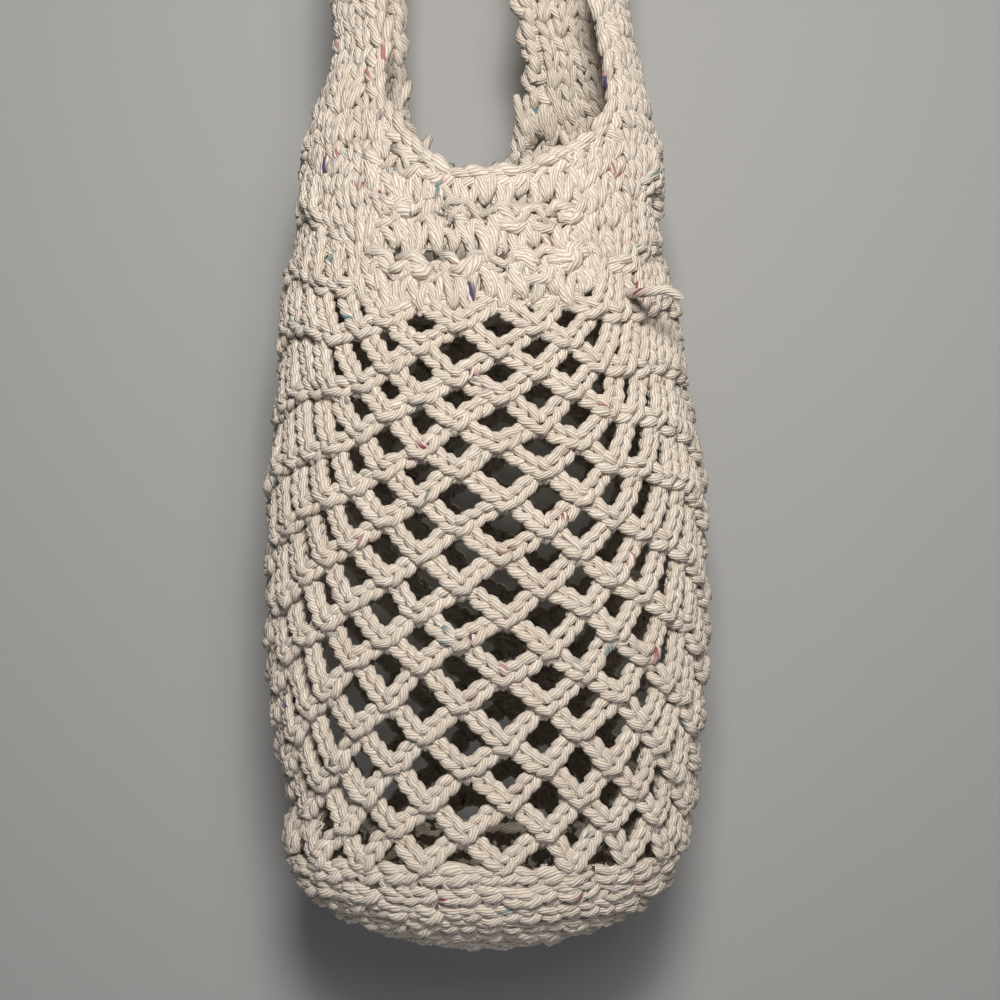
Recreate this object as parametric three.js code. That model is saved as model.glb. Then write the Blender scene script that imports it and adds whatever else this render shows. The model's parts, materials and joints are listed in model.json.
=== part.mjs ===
// String shopping bag: a crocheted cotton net bag that hangs by its one wide strap.
// Millimetres, +Z up, the front faces -Y. The origin is the hang point, under the top of the strap.
import * as THREE from 'three';

// Driving dimensions
const bodyHeight = 266; // underside of the base to the lowest point of the front rim
const bodyWidth = 152; // widest place, outside
const bodyDepth = 94; // deepest place, outside
const strapRise = 250; // lowest point of the front rim to the underside of the strap's top
const baseHeight = 35.4; // dense bottom
const collarHeight = 46; // dense band at the front centre
const netSideRise = 21; // the net climbs this far above the rim at both sides
const rootRise = 40; // the collar becomes the strap this far above the rim
const straightRise = 65; // the strap bends towards its top from this height above the rim
const strapTopDepth = 44; // front edge to back edge of the strap at its top
const strapTopCurl = 6; // how far its edges hang below its middle there
const netWall = 5;
const denseWall = 6;
const strapWall = 6;
const strandWidth = 6.4; // a chain of the net, seen flat
const seam = 0.3; // clearance where two pieces meet
const slopedSeam = 0.6; // the same along the net's upper edge, which is steep beside the strap

// The net
const netColumns = 19; // diamonds round the bag
const netRows = 20; // half-diamonds from collar to base
const netTurn = 3.9; // degrees from the front centre to the first column
const netStretch = 0.2; // how much the rows open towards the base
const openAngle = 33; // the diamonds are pulled open this far to both sides of front and back
const closedRows = 2; // rows of small diamonds at the top and bottom that stay shut

// Facets
const splits = 2; // facets for each half-diamond along a seam
const baseRings = 7;
const collarRings = 5;
const straightSteps = 3;
const archSteps = 15;
const strapFacets = 8;

// The plan of each section is a rounded oval: 2 is an ellipse, more is squarer
const ovalPower = 2.2;

// Shares of bodyHeight, bodyWidth / 2 and bodyDepth / 2, from the top of the base to the strap
const sections = [
  { level: 0.133, halfWidth: 0.904, shift: -0.016, halfDepth: 0.86 },
  { level: 0.164, halfWidth: 0.921, shift: 0.005, halfDepth: 0.885 },
  { level: 0.19, halfWidth: 0.914, shift: 0.028, halfDepth: 0.9 },
  { level: 0.217, halfWidth: 0.928, shift: 0.021, halfDepth: 0.92 },
  { level: 0.269, halfWidth: 0.96, shift: 0.007, halfDepth: 0.96 },
  { level: 0.401, halfWidth: 1, shift: 0.005, halfDepth: 1 },
  { level: 0.506, halfWidth: 0.998, shift: 0, halfDepth: 1 },
  { level: 0.611, halfWidth: 0.99, shift: 0.002, halfDepth: 0.99 },
  { level: 0.717, halfWidth: 0.933, shift: -0.016, halfDepth: 0.95 },
  { level: 0.795, halfWidth: 0.909, shift: -0.03, halfDepth: 0.91 },
  { level: 0.848, halfWidth: 0.889, shift: -0.039, halfDepth: 0.88 },
  { level: 0.901, halfWidth: 0.84, shift: -0.039, halfDepth: 0.83 },
  { level: 0.953, halfWidth: 0.817, shift: -0.042, halfDepth: 0.78 },
  { level: 1.006, halfWidth: 0.824, shift: -0.022, halfDepth: 0.72 },
  { level: 1.058, halfWidth: 0.801, shift: -0.023, halfDepth: 0.64 },
  { level: 1.111, halfWidth: 0.76, shift: -0.015, halfDepth: 0.56 },
  { level: 1.164, halfWidth: 0.705, shift: -0.005, halfDepth: 0.49 },
  { level: 1.243, halfWidth: 0.684, shift: -0.039, halfDepth: 0.43 },
];

// Half angles of the front and back opening, in degrees, at shares of rootRise above the rim
const neckline = [
  { rise: 0, frontRight: 10, backRight: 4, backLeft: 8, frontLeft: 10 },
  { rise: 0.08, frontRight: 18, backRight: 6, backLeft: 12, frontLeft: 15 },
  { rise: 0.2, frontRight: 29, backRight: 8, backLeft: 16, frontLeft: 20 },
  { rise: 0.33, frontRight: 40, backRight: 10, backLeft: 21, frontLeft: 25 },
  { rise: 0.56, frontRight: 49, backRight: 13, backLeft: 27, frontLeft: 33 },
  { rise: 0.73, frontRight: 52, backRight: 15, backLeft: 32, frontLeft: 38 },
  { rise: 1, frontRight: 54, backRight: 18, backLeft: 36, frontLeft: 43 },
];
const strapTopAngle = 30; // the same half angle at the top of the strap
const quarters = ['frontRight', 'backRight', 'backLeft', 'frontLeft'];

// Heights that follow from the driving dimensions
const bottomZ = -(strapRise + bodyHeight);
const rootLevel = (bodyHeight + rootRise) / bodyHeight;
const straightLevel = (bodyHeight + straightRise) / bodyHeight;
const baseLevel = baseHeight / bodyHeight;
const netTopFront = (bodyHeight - collarHeight) / bodyHeight;
const netTopSide = (bodyHeight + netSideRise) / bodyHeight;
const halfColumns = 2 * netColumns;
const columnAngle = 360 / halfColumns;

const radians = THREE.MathUtils.degToRad;
const mix = THREE.MathUtils.lerp;

// A smooth curve through one column of the sections table
function sectionValue(level, column) {
  const last = sections.length - 1;
  const above = sections.findIndex((row) => row.level > level);
  const low = above < 0 ? last - 1 : Math.max(above - 1, 0);
  const slope = (row) => {
    const before = sections[Math.max(row - 1, 0)];
    const after = sections[Math.min(row + 1, last)];
    return (after[column] - before[column]) / (after.level - before.level);
  };
  const start = sections[low];
  const end = sections[low + 1];
  const span = end.level - start.level;
  const t = THREE.MathUtils.clamp((level - start.level) / span, 0, 1);
  const rise = t * t * (3 - 2 * t);
  const bend = span * t * (1 - t) * ((1 - t) * slope(low) - t * slope(low + 1));
  return mix(start[column], end[column], rise) + bend;
}

// Half width, half depth and sideways shift of the middle of the wall
function plan(level, wall) {
  return {
    halfWidth: (sectionValue(level, 'halfWidth') * bodyWidth - wall) / 2,
    halfDepth: (sectionValue(level, 'halfDepth') * bodyDepth - wall) / 2,
    shift: (sectionValue(level, 'shift') * bodyWidth) / 2,
  };
}

// A sine or cosine pushed outwards to the rounded oval
function squared(value) {
  return Math.sign(value) * Math.abs(value) ** (2 / ovalPower);
}

// Outward direction of an oval in its own plane, and its point
function oval(angle, halfWidth, halfDepth) {
  const point = (turn) => new THREE.Vector2(
    halfWidth * squared(Math.sin(radians(turn))),
    -halfDepth * squared(Math.cos(radians(turn))),
  );
  const step = 0.5;
  const along = point(angle + step).sub(point(angle - step)).normalize();
  return { point: point(angle), outward: new THREE.Vector2(along.y, -along.x) };
}

// A point of the body at an angle from the front centre, at a height, offset from the middle of the wall
function bodyPoint(angle, level, wall, offset) {
  const { halfWidth, halfDepth, shift } = plan(level, wall);
  const { point, outward } = oval(angle, halfWidth, halfDepth);
  point.addScaledVector(outward, offset);
  return new THREE.Vector3(point.x + shift, point.y, bottomZ + level * bodyHeight);
}

// Which quarter an angle lies in, and how far it is from the middle of the front or the back
function quarterOf(angle) {
  const turned = ((angle % 360) + 360) % 360;
  const index = Math.floor(turned / 90);
  const away = index === 0 ? turned : index < 3 ? Math.abs(turned - 180) : 360 - turned;
  return { name: quarters[index], away };
}

// Height of the neckline at an angle
function rimLevel(angle) {
  const { name, away } = quarterOf(angle);
  const upper = neckline.findIndex((row) => row[name] >= away);
  if (upper < 0) {
    return rootLevel;
  }
  if (upper === 0) {
    return 1;
  }
  const low = neckline[upper - 1];
  const high = neckline[upper];
  const rise = mix(low.rise, high.rise, (away - low[name]) / (high[name] - low[name]));
  return 1 + (rise * rootRise) / bodyHeight;
}

// The collar's lower edge is level round the front and climbs at the sides
function netTopLevel(angle) {
  return mix(netTopFront, netTopSide, Math.sin(radians(angle)) ** 4);
}

// Collects triangles and quads, and turns them into one closed surface
class Surface {
  constructor() {
    this.corners = [];
  }

  triangle(a, b, c) {
    const tiny = 1e-6;
    const closed = a.distanceTo(b) < tiny || b.distanceTo(c) < tiny || c.distanceTo(a) < tiny;
    if (!closed) {
      this.corners.push(a, b, c);
    }
  }

  quad(a, b, c, d) {
    this.triangle(a, b, c);
    this.triangle(a, c, d);
  }

  // A wall between two faces given as rows of points, each row from left to right seen from outside
  wall(outer, inner, closedRound) {
    const rows = outer.length;
    const count = outer[0].length;
    const columns = closedRound ? count : count - 1;
    for (let column = 0; column < columns; column += 1) {
      const next = (column + 1) % count;
      for (let row = 0; row < rows - 1; row += 1) {
        this.quad(outer[row][column], outer[row][next], outer[row + 1][next], outer[row + 1][column]);
        this.quad(inner[row][column], inner[row + 1][column], inner[row + 1][next], inner[row][next]);
      }
      const top = rows - 1;
      this.quad(inner[0][column], inner[0][next], outer[0][next], outer[0][column]);
      this.quad(outer[top][column], outer[top][next], inner[top][next], inner[top][column]);
    }
    if (!closedRound) {
      const end = count - 1;
      for (let row = 0; row < rows - 1; row += 1) {
        this.quad(outer[row][0], outer[row + 1][0], inner[row + 1][0], inner[row][0]);
        this.quad(outer[row][end], inner[row][end], inner[row + 1][end], outer[row + 1][end]);
      }
    }
  }

  geometry() {
    const geometry = new THREE.BufferGeometry().setFromPoints(this.corners);
    geometry.computeVertexNormals();
    return geometry;
  }
}

const cotton = { color: '#d9cdb2', roughness: 0.95, metalness: 0 };

function piece(name, surface) {
  const mesh = new THREE.Mesh(surface.geometry(), new THREE.MeshStandardMaterial(cotton));
  mesh.name = name;
  return mesh;
}

// Angles along every seam that runs round the bag
function seamAngles() {
  const count = halfColumns * splits;
  return Array.from({ length: count }, (_, index) => netTurn + (index * 360) / count);
}

// The bottom is a bowl: a quarter oval turned round, closed at its middle
function makeBase() {
  const surface = new Surface();
  const rim = plan(baseLevel, denseWall);
  const ring = (offset) => (_, index) => {
    const swing = (Math.PI / 2) * (index / baseRings);
    const spread = Math.sin(swing);
    const lift = (baseHeight - denseWall / 2) * (1 - Math.cos(swing));
    return seamAngles().map((angle) => {
      const { point, outward } = oval(angle, rim.halfWidth, rim.halfDepth);
      const flat = point.multiplyScalar(spread).addScaledVector(outward, offset * spread);
      const height = bottomZ + denseWall / 2 + lift - offset * Math.cos(swing);
      return new THREE.Vector3(flat.x + rim.shift, flat.y, height);
    });
  };
  const rows = { length: baseRings + 1 };
  surface.wall(Array.from(rows, ring(denseWall / 2)), Array.from(rows, ring(-denseWall / 2)), true);
  return piece('base', surface);
}

// The collar runs from the net up to the neckline and to the foot of the strap
function makeCollar() {
  const surface = new Surface();
  const corner = neckline[neckline.length - 1];
  // Moves the columns along the top edge, so that one of them meets each corner of the strap's foot
  const topAngle = (angle) => {
    const { name, away } = quarterOf(angle);
    const step = columnAngle / splits;
    const start = quarterOf(angle - Math.round((away - corner[name]) / step) * step).away;
    const nearest = Math.abs(start - corner[name]) < step ? start : corner[name];
    const scaled = away <= nearest
      ? (away * corner[name]) / nearest
      : mix(corner[name], 90, (away - nearest) / (90 - nearest));
    const growing = name === 'frontRight' || name === 'backLeft';
    return angle + (growing ? 1 : -1) * (scaled - away);
  };
  const ring = (offset) => (_, index) => {
    const share = index / collarRings;
    return seamAngles().map((angle) => {
      const turned = mix(angle, topAngle(angle), share);
      const low = netTopLevel(angle) + slopedSeam / bodyHeight;
      const level = mix(low, rimLevel(topAngle(angle)), share);
      return bodyPoint(turned, level, denseWall, offset);
    });
  };
  const rows = { length: collarRings + 1 };
  surface.wall(Array.from(rows, ring(denseWall / 2)), Array.from(rows, ring(-denseWall / 2)), true);
  return piece('collar', surface);
}

// A crossing or any other place of the net, by half-column and by half-diamond row counted from the top
function netPoint(column, row, offset) {
  const angle = netTurn + column * columnAngle;
  const down = row / netRows;
  const share = down * (1 - netStretch * (1 - down));
  const top = netTopLevel(angle);
  const bottom = baseLevel + seam / bodyHeight;
  return bodyPoint(angle, mix(top, bottom, share), netWall, offset);
}

function isOpen(column, row) {
  const { away } = quarterOf(netTurn + column * columnAngle);
  return away < openAngle && row >= closedRows && row <= netRows - closedRows;
}

// One diamond of the net: shut, or cut through between its four strands
function addDiamond(surface, column, row) {
  const places = [[-1, 0], [0, 1], [1, 0], [0, -1]];
  const ring = (scale, offset) => places.map(
    ([across, down]) => netPoint(column + across * scale, row + down * scale, offset),
  );
  const outer = ring(1, netWall / 2);
  const inner = ring(1, -netWall / 2);
  if (!isOpen(column, row)) {
    surface.quad(...outer);
    surface.quad(inner[0], inner[3], inner[2], inner[1]);
    return;
  }
  const across = outer[0].distanceTo(outer[2]) / 2;
  const down = outer[1].distanceTo(outer[3]) / 2;
  const reach = (across * down) / Math.hypot(across, down);
  const scale = Math.max(1 - strandWidth / 2 / reach, 0.1);
  const outerHole = ring(scale, netWall / 2);
  const innerHole = ring(scale, -netWall / 2);
  places.forEach((_, side) => {
    const next = (side + 1) % places.length;
    surface.quad(outer[side], outer[next], outerHole[next], outerHole[side]);
    surface.quad(inner[next], inner[side], innerHole[side], innerHole[next]);
    surface.quad(outerHole[side], outerHole[next], innerHole[next], innerHole[side]);
  });
}

// Half a diamond along the top or bottom seam, with the seam's own facets
function addEdge(surface, column, row, tipRow) {
  const places = Array.from({ length: 2 * splits + 1 }, (_, index) => column - 1 + index / splits);
  const side = tipRow > row ? 1 : -1;
  const tips = [netWall / 2, -netWall / 2].map((offset) => netPoint(column, tipRow, offset));
  for (let index = 0; index < 2 * splits; index += 1) {
    const ends = side > 0 ? [places[index + 1], places[index]] : [places[index], places[index + 1]];
    const [outerA, outerB] = ends.map((place) => netPoint(place, row, netWall / 2));
    const [innerA, innerB] = ends.map((place) => netPoint(place, row, -netWall / 2));
    surface.triangle(outerA, outerB, tips[0]);
    surface.triangle(innerB, innerA, tips[1]);
    surface.quad(outerB, outerA, innerA, innerB);
  }
}

function makeNet() {
  const surface = new Surface();
  for (let column = 0; column < halfColumns; column += 1) {
    for (let row = 1; row < netRows; row += 1) {
      if ((column + row) % 2 === 1) {
        addDiamond(surface, column, row);
      }
    }
    if (column % 2 === 1) {
      addEdge(surface, column, 0, 1);
    }
    if ((column + netRows) % 2 === 1) {
      addEdge(surface, column, netRows, netRows - 1);
    }
  }
  return piece('net', surface);
}

// One section of the strap: side is 1 at the right foot and -1 at the left foot, climb runs 0 to 1 to the top
function strapSection(side, climb, offset) {
  const archShare = archSteps / (archSteps + straightSteps);
  const arch = Math.max(climb - (1 - archShare), 0) / archShare;
  const straight = Math.min(climb / (1 - archShare), 1);
  const level = mix(rootLevel, straightLevel, straight);
  const { halfWidth, halfDepth, shift } = plan(level, strapWall);
  const swing = (arch * Math.PI) / 2;
  const foot = bottomZ + level * bodyHeight + seam * (1 - straight);
  const middle = new THREE.Vector3(
    mix(shift, 0, arch) + side * halfWidth * Math.cos(swing),
    0,
    foot + (strapWall / 2 - foot) * Math.sin(swing),
  );
  const tall = Math.abs(foot);
  const away = new THREE.Vector3(side * tall * Math.cos(swing), 0, halfWidth * Math.sin(swing)).normalize();
  const ease = arch * arch * (3 - 2 * arch);
  const topReach = squared(Math.cos(radians(strapTopAngle)));
  const topDip = 1 - squared(Math.sin(radians(strapTopAngle)));
  const curl = mix(halfWidth, strapTopCurl / topDip, ease);
  const reach = mix(halfDepth, strapTopDepth / 2 / topReach, ease);
  const foots = neckline[neckline.length - 1];
  const frontFoot = side > 0 ? foots.frontRight : foots.frontLeft;
  const backFoot = side > 0 ? foots.backRight : foots.backLeft;
  const frontAngle = mix(frontFoot, strapTopAngle, ease);
  const backAngle = 180 - mix(backFoot, strapTopAngle, ease);
  return Array.from({ length: strapFacets + 1 }, (_, index) => {
    const angle = mix(frontAngle, backAngle, index / strapFacets);
    const { point, outward } = oval(angle, curl, reach);
    point.addScaledVector(outward, offset);
    return middle.clone().addScaledVector(away, point.x - curl).add(new THREE.Vector3(0, point.y, 0));
  });
}

// The strap climbs from the right foot over the top and down to the left foot
function makeStrap() {
  const surface = new Surface();
  const steps = straightSteps + archSteps;
  const rows = (offset) => Array.from({ length: 2 * steps + 1 }, (_, index) => (
    index <= steps
      ? strapSection(1, index / steps, offset)
      : strapSection(-1, (2 * steps - index) / steps, offset)
  ));
  surface.wall(rows(strapWall / 2), rows(-strapWall / 2), false);
  return piece('strap', surface);
}

const bag = new THREE.Group();
bag.name = 'string_shopping_bag';
bag.add(makeBase(), makeNet(), makeCollar(), makeStrap());

export default bag;
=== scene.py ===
# %% [markdown]
# # A crocheted string shopping bag
# The real bag is one long cotton yarn, hooked into four fabrics: an oval base of dense rounds, a net of
# chain loops, a dense collar, and a strap that grows out of both sides of the collar.
# Nothing here is a texture of crochet. Every stitch is the real path of the yarn, worked out by a few
# functions, and one Geometry Nodes tree sweeps a round yarn along all those paths.

# %% Load the frame
import json
import math

import bpy
import numpy as np
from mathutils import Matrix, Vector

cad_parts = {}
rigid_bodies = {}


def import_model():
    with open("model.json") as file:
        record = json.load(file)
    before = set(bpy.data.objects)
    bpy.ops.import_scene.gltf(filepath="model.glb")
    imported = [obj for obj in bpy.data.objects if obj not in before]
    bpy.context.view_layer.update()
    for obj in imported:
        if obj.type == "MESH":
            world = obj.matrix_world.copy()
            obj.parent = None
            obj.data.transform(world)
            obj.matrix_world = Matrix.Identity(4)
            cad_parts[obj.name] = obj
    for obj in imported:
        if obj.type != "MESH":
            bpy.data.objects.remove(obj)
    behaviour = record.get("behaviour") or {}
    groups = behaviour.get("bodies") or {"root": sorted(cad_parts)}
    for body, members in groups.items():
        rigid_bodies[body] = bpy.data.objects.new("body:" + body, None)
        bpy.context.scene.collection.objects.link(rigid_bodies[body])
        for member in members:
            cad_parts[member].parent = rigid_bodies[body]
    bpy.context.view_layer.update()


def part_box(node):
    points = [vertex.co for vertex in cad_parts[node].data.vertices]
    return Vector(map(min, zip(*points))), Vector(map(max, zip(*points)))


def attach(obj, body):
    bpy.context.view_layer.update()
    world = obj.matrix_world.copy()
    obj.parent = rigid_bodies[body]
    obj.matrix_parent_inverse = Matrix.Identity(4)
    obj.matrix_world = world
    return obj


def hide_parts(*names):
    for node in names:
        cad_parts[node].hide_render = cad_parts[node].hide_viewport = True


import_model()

# %% [markdown]
# ## Sizes
# All lengths are metres. The body is a rounded oval whose half width and half depth change with height,
# so it is measured by an angle from the front centre and by a level: 0 at the bottom, 1 at the front rim.
# The tables below hold shares of the bag's own sizes, the same ones that the solid parts were made from.

# %% Sizes of the bag
MM = 0.001
BODY_HEIGHT = 266 * MM
BODY_WIDTH = 152 * MM
BODY_DEPTH = 94 * MM
OVAL_POWER = 2.2
base_low, base_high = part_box("base")
BOTTOM = base_low[2]
BASE_HEIGHT = base_high[2] - base_low[2]
BASE_LEVEL = BASE_HEIGHT / BODY_HEIGHT
NET_WALL = 5 * MM
DENSE_WALL = 6 * MM
NET_TOP_FRONT = (BODY_HEIGHT - 46 * MM) / BODY_HEIGHT
NET_TOP_SIDE = (BODY_HEIGHT + 21 * MM) / BODY_HEIGHT
ROOT_LEVEL = (BODY_HEIGHT + 40 * MM) / BODY_HEIGHT
STRAIGHT_LEVEL = (BODY_HEIGHT + 65 * MM) / BODY_HEIGHT
ARCH_START = 3 / 18
STRAP_TOP_DEPTH = 44 * MM
STRAP_TOP_CURL = 6 * MM
STRAP_TOP_ANGLE = 30
NET_COLUMNS = 38
NET_ROWS = 20
NET_TURN = 3.9
NET_STRETCH = 0.2
print("body", round(BODY_WIDTH / MM), "mm wide and", round(BODY_HEIGHT / MM), "mm high to the front rim")

# level, half width, shift to the right, half depth, as shares of half the body's width and depth
SECTIONS = np.array([
    (0.133, 0.904, -0.016, 0.86),
    (0.164, 0.921, 0.005, 0.885),
    (0.19, 0.914, 0.028, 0.9),
    (0.217, 0.928, 0.021, 0.92),
    (0.269, 0.96, 0.007, 0.96),
    (0.401, 1, 0.005, 1),
    (0.506, 0.998, 0, 1),
    (0.611, 0.99, 0.002, 0.99),
    (0.717, 0.933, -0.016, 0.95),
    (0.795, 0.909, -0.03, 0.91),
    (0.848, 0.889, -0.039, 0.88),
    (0.901, 0.84, -0.039, 0.83),
    (0.953, 0.817, -0.042, 0.78),
    (1.006, 0.824, -0.022, 0.72),
    (1.058, 0.801, -0.023, 0.64),
    (1.111, 0.76, -0.015, 0.56),
    (1.164, 0.705, -0.005, 0.49),
    (1.243, 0.684, -0.039, 0.43),
]).T

# share of the way from rim to strap, then the half angle of the opening in each quarter
NECKLINE = np.array([
    (0, 10, 4, 8, 10),
    (0.08, 18, 6, 12, 15),
    (0.2, 29, 8, 16, 20),
    (0.33, 40, 10, 21, 25),
    (0.56, 49, 13, 27, 33),
    (0.73, 52, 15, 32, 38),
    (1, 54, 18, 36, 43),
]).T
FRONT_RIGHT, BACK_RIGHT, BACK_LEFT, FRONT_LEFT = 1, 2, 3, 4


# %% [markdown]
# ## Camera, light and backdrop
# The photograph looks at the bag from straight ahead, about 0.6 m away, and takes in 350 mm at the bag.
# The bag hangs just in front of a plain pale wall and is lit from the front, so the space inside the
# net stays dark. The wall shows from its front only, so that it hides nothing from behind.

# %% Camera
CAMERA_DISTANCE = 0.6
FIELD = 0.35
IMAGE_PIXELS = 1000
BAG_CENTRE_PIXEL = 487
PIXEL = FIELD / IMAGE_PIXELS
camera_x = (IMAGE_PIXELS / 2 - BAG_CENTRE_PIXEL) * PIXEL
# level with a point a little below the collar
camera_z = -0.3604
camera_data = bpy.data.cameras.new("camera")
camera_data.sensor_width = 36
camera_data.lens = camera_data.sensor_width * CAMERA_DISTANCE / FIELD
camera = bpy.data.objects.new("camera", camera_data)
camera.location = (camera_x, -CAMERA_DISTANCE, camera_z)
camera.rotation_euler = (math.radians(90), 0, 0)
bpy.context.scene.collection.objects.link(camera)
bpy.context.scene.camera = camera
print("camera sees", round(FIELD / MM), "mm at the bag")


def to_photo(points):
    """Points as the camera sees them, in pixels across and down."""
    scale = CAMERA_DISTANCE / (CAMERA_DISTANCE + points[:, 1]) / PIXEL
    across = IMAGE_PIXELS / 2 + (points[:, 0] - camera_x) * scale
    down = IMAGE_PIXELS / 2 - (points[:, 2] - camera_z) * scale
    return np.stack([across, down], axis=1)


# %% [markdown]
# ## Two small helpers
# Colours are written as they look on screen and turned into linear light in one place. Every shader and
# geometry node is added by the same function, which also links its inputs, so a tree reads top to bottom.

# %% One function for every shader and geometry node
def colour(hexa):
    channels = [int(hexa[start:start + 2], 16) / 255 for start in (1, 3, 5)]
    linear = [c / 12.92 if c <= 0.04045 else ((c + 0.055) / 1.055) ** 2.4 for c in channels]
    return (*linear, 1)


def add_node(tree, kind, settings=None, inputs=None):
    """An input can be a number, a socket or a node, which gives its first output."""
    node = tree.nodes.new(kind)
    for name, value in (settings or {}).items():
        setattr(node, name, value)
    for name, value in (inputs or {}).items():
        if isinstance(value, bpy.types.Node):
            value = value.outputs[0]
        if isinstance(value, bpy.types.NodeSocket):
            tree.links.new(value, node.inputs[name])
        else:
            node.inputs[name].default_value = value
    return node


# %% [markdown]
# ## Backdrop and lamps
# A key lamp a little above the camera gives the relief of the stitches, a softer one beside it opens the
# shadows, one from below lightens the wall under the bag, and one behind it serves the views of the back.

# %% Wall, floor and lamps
def make_stage_plane(name, corners, material):
    """A backdrop plane that throws no shadow, so the lamp behind it reaches the bag."""
    mesh = bpy.data.meshes.new(name)
    mesh.from_pydata(corners, [], [(0, 1, 2, 3)])
    mesh.materials.append(material)
    plane = bpy.data.objects.new(name, mesh)
    bpy.context.scene.collection.objects.link(plane)
    plane.visible_shadow = False


def make_one_sided_paint(name, hexa):
    """Matt paint that is clear from behind."""
    material = bpy.data.materials.new(name)
    material.use_nodes = True
    tree = material.node_tree
    tree.nodes.clear()
    paint = add_node(tree, "ShaderNodeBsdfDiffuse", inputs={"Color": colour(hexa)})
    clear = add_node(tree, "ShaderNodeBsdfTransparent")
    side = add_node(tree, "ShaderNodeNewGeometry")
    mixed = add_node(tree, "ShaderNodeMixShader", inputs={
        "Fac": side.outputs["Backfacing"], 1: paint.outputs[0], 2: clear.outputs[0]})
    add_node(tree, "ShaderNodeOutputMaterial", inputs={"Surface": mixed.outputs[0]})
    return material


WALL_Y = 0.075
FLOOR_Z = -0.9
STAGE_REACH = 3
wall_paint = make_one_sided_paint("wall_paint", "#ACADAD")
for name, near, far in (
        ("wall", (WALL_Y, FLOOR_Z), (WALL_Y, STAGE_REACH)),
        ("floor", (-STAGE_REACH, FLOOR_Z), (STAGE_REACH, FLOOR_Z))):
    make_stage_plane(name, [
        (-STAGE_REACH, *near), (STAGE_REACH, *near), (STAGE_REACH, *far), (-STAGE_REACH, *far)], wall_paint)


def add_area_light(name, place, aim, size, power, hexa):
    data = bpy.data.lights.new(name, "AREA")
    data.size = size
    data.energy = power
    data.color = colour(hexa)[:3]
    lamp = bpy.data.objects.new(name, data)
    lamp.location = place
    direction = np.array(aim) - np.array(place)
    flat = math.hypot(direction[0], direction[1])
    lamp.rotation_euler = (
        math.atan2(flat, -direction[2]), 0, math.atan2(direction[1], direction[0]) - math.pi / 2)
    bpy.context.scene.collection.objects.link(lamp)
    return lamp


BAG_MIDDLE = (0, 0, -0.38)
WALL_UNDER_BAG = (0, 0.06, -0.54)
WARM_WHITE = "#FFFBF6"
COOL_WHITE = "#F4F5FF"
key_lamp = add_area_light(
    "key", place=(0.02, -0.66, -0.02), aim=BAG_MIDDLE, size=0.18, power=4.7, hexa=WARM_WHITE)
soft_lamp = add_area_light(
    "soft", place=(0.1, -0.74, -0.08), aim=BAG_MIDDLE, size=0.3, power=2.0, hexa=WARM_WHITE)
add_area_light("under", place=(0, -0.4, -0.86), aim=WALL_UNDER_BAG, size=0.5, power=0.6, hexa=COOL_WHITE)
add_area_light("behind", place=(0.45, 1.3, 0.1), aim=BAG_MIDDLE, size=1.2, power=8, hexa=WARM_WHITE)

# %% [markdown]
# ## The room's own light
# The world gives a dim, cool light, but the camera sees it as pale grey, like a room and not like night.

# %% World
DIM_LIGHT = 0.025
world = bpy.data.worlds.new("world")
world.use_nodes = True
sky = world.node_tree
sky.nodes.clear()
dim = add_node(sky, "ShaderNodeBackground", inputs={"Color": colour("#DCE0E6"), "Strength": DIM_LIGHT})
pale = add_node(sky, "ShaderNodeBackground", inputs={"Color": colour("#A6A6A4"), "Strength": 1.0})
seen = add_node(sky, "ShaderNodeLightPath")
shown = add_node(sky, "ShaderNodeMixShader", inputs={
    "Fac": seen.outputs["Is Camera Ray"], 1: dim.outputs[0], 2: pale.outputs[0]})
add_node(sky, "ShaderNodeOutputWorld", inputs={"Surface": shown.outputs[0]})
bpy.context.scene.world = world
bpy.context.scene.view_settings.view_transform = "Standard"
bpy.context.scene.view_settings.gamma = 0.88
print("world light", DIM_LIGHT)


# %% [markdown]
# ## The surface that the stitches lie on
# A maker hooks the bag round by round, so each stitch has a place round the bag and a height. These
# functions turn such a place into a point in space, with a last number for how far it stands out.

# %% Body, net and base surfaces
TANGENT_STEP = 0.5


def smooth_table(values, places, column):
    """A column of a table, read at values between its places."""
    last = len(places) - 1
    values = np.clip(values, places[0], places[-1])
    low = np.clip(np.searchsorted(places, values, side="right") - 1, 0, last - 1)
    before = np.maximum(np.arange(last + 1) - 1, 0)
    after = np.minimum(np.arange(last + 1) + 1, last)
    slopes = (column[after] - column[before]) / (places[after] - places[before])
    span = places[low + 1] - places[low]
    t = (values - places[low]) / span
    rise = t * t * (3 - 2 * t)
    bend = span * t * (1 - t) * ((1 - t) * slopes[low] - t * slopes[low + 1])
    return column[low] * (1 - rise) + column[low + 1] * rise + bend


def squared(value):
    return np.sign(value) * np.abs(value) ** (2 / OVAL_POWER)


def oval(angle, half_width, half_depth, out):
    """A flat point on a rounded oval, or out metres past it."""
    def point(turn):
        radians = np.radians(turn)
        return np.stack([half_width * squared(np.sin(radians)), -half_depth * squared(np.cos(radians))], -1)
    along = point(angle + TANGENT_STEP) - point(angle - TANGENT_STEP)
    along /= np.linalg.norm(along, axis=-1, keepdims=True)
    outward = np.stack([along[..., 1], -along[..., 0]], -1)
    return point(angle) + outward * np.asarray(out)[..., None]


def section(level, wall):
    """Half width, half depth and shift of the middle of a wall."""
    half_width = (smooth_table(level, SECTIONS[0], SECTIONS[1]) * BODY_WIDTH - wall) / 2
    half_depth = (smooth_table(level, SECTIONS[0], SECTIONS[3]) * BODY_DEPTH - wall) / 2
    shift = smooth_table(level, SECTIONS[0], SECTIONS[2]) * BODY_WIDTH / 2
    return half_width, half_depth, shift


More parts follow.
